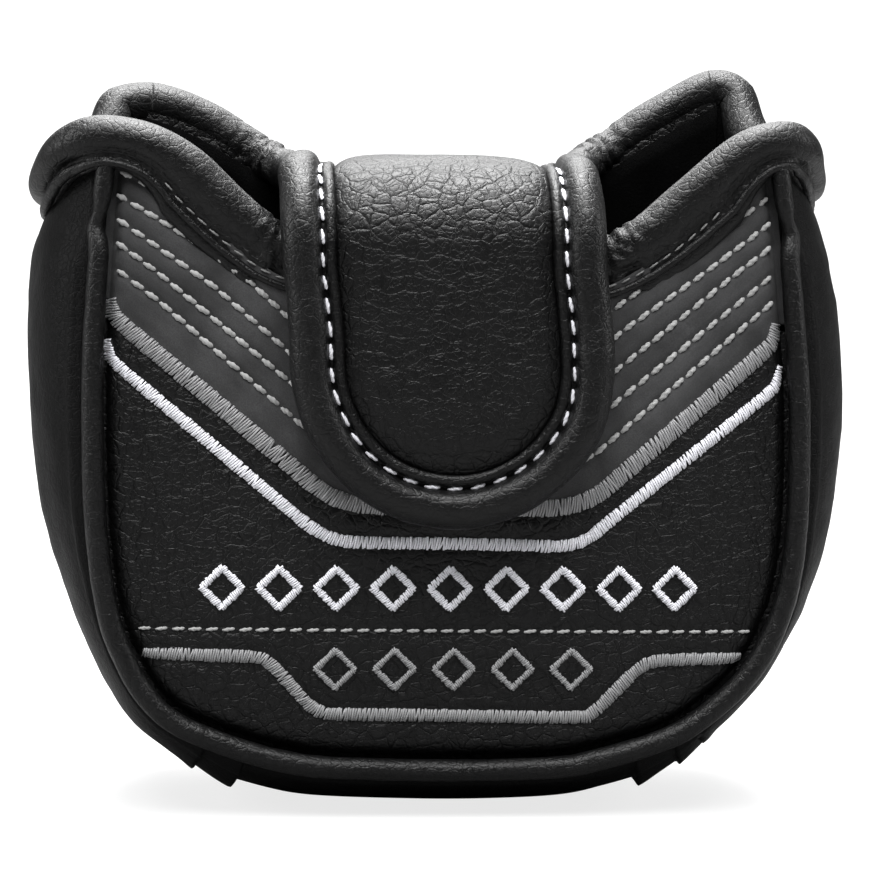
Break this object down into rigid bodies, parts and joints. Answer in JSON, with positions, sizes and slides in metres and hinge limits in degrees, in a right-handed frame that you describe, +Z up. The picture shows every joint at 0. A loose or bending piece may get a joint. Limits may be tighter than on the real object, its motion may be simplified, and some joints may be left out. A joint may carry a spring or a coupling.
{
  "type": "putter head cover",
  "caption": "Padded synthetic-leather cover for a mallet putter head: upright piped pouch with a V-shaped mouth, closed by a U-shaped magnetic flap folded over from the back.",
  "frame": {"origin": "centre of the flat under the bottom gusset, on the surface the cover stands on", "axes": "+Z up, out of the mouth; the embroidered front panel faces -Y; +X runs from left to right when looking at the front"},
  "size_m": [0.1278, 0.0553, 0.1163],
  "materials": {
    "pebbled_leather": "pebbled synthetic leather, satin sheen",
    "smooth_leather": "fine-grained synthetic leather, satin sheen",
    "grey_microfibre": "matt microfibre",
    "plush_lining": "short plush pile",
    "foam_core": "open-cell foam wadding",
    "grey_satin_thread": "satin embroidery",
    "white_satin_thread": "satin embroidery",
    "grey_stitch_thread": "twisted sewing thread",
    "magnet_steel": "plated disc magnet"
  },
  "bodies": {
    "pouch": {"front_yoke": "grey_microfibre", "front_panel": "pebbled_leather", "front_foam": "foam_core", "front_lining": "plush_lining", "back_panel": "pebbled_leather", "back_foam": "foam_core", "back_lining": "plush_lining", "front_magnet": "magnet_steel", "gusset": "pebbled_leather", "gusset_lining": "plush_lining", "gusset_foam_left": "foam_core", "gusset_foam_right": "foam_core", "gusset_foam_bottom": "foam_core", "front_piping": "smooth_leather", "front_piping_cord": "foam_core", "back_piping": "smooth_leather", "back_piping_cord": "foam_core", "rim_binding_front": "smooth_leather", "rim_roll_front": "foam_core", "rim_binding_left": "smooth_leather", "rim_roll_left": "foam_core", "rim_binding_right": "smooth_leather", "rim_roll_right": "foam_core", "rim_binding_back_left": "smooth_leather", "rim_roll_back_left": "foam_core", "rim_binding_back_right": "smooth_leather", "rim_roll_back_right": "foam_core", "rim_facing_front": "smooth_leather", "band_yoke": "grey_satin_thread", "band_white": "white_satin_thread", "band_low": "grey_satin_thread", "lozenges_white": "white_satin_thread", "lozenges_grey": "grey_stitch_thread", "stitches_level": "grey_stitch_thread", "stitches_yoke_left": "grey_stitch_thread", "stitches_yoke_right": "grey_stitch_thread"},
    "flap_bridge": {"flap_bridge_lining": "plush_lining", "flap_bridge_foam": "foam_core", "flap_bridge_skin": "pebbled_leather", "flap_bridge_binding": "smooth_leather", "flap_bridge_roll": "foam_core"},
    "flap_tongue": {"flap_tongue_lining": "plush_lining", "flap_tongue_foam": "foam_core", "flap_tongue_skin": "pebbled_leather", "flap_tongue_binding": "smooth_leather", "flap_tongue_roll": "foam_core", "flap_magnet": "magnet_steel", "flap_stitching": "grey_stitch_thread"}
  },
  "joints": [
    {"name": "flap_lift", "type": "hinge", "parent": "pouch", "child": "flap_bridge", "pos_m": [0, 0.0194, 0.0985], "axis": [-1, 0, 0], "range_deg": [0, 100]},
    {"name": "flap_unfold", "type": "hinge", "parent": "flap_bridge", "child": "flap_tongue", "pos_m": [0, -0.02738, 0.09768], "axis": [-1, 0, 0], "range_deg": [0, 65]}
  ]
}
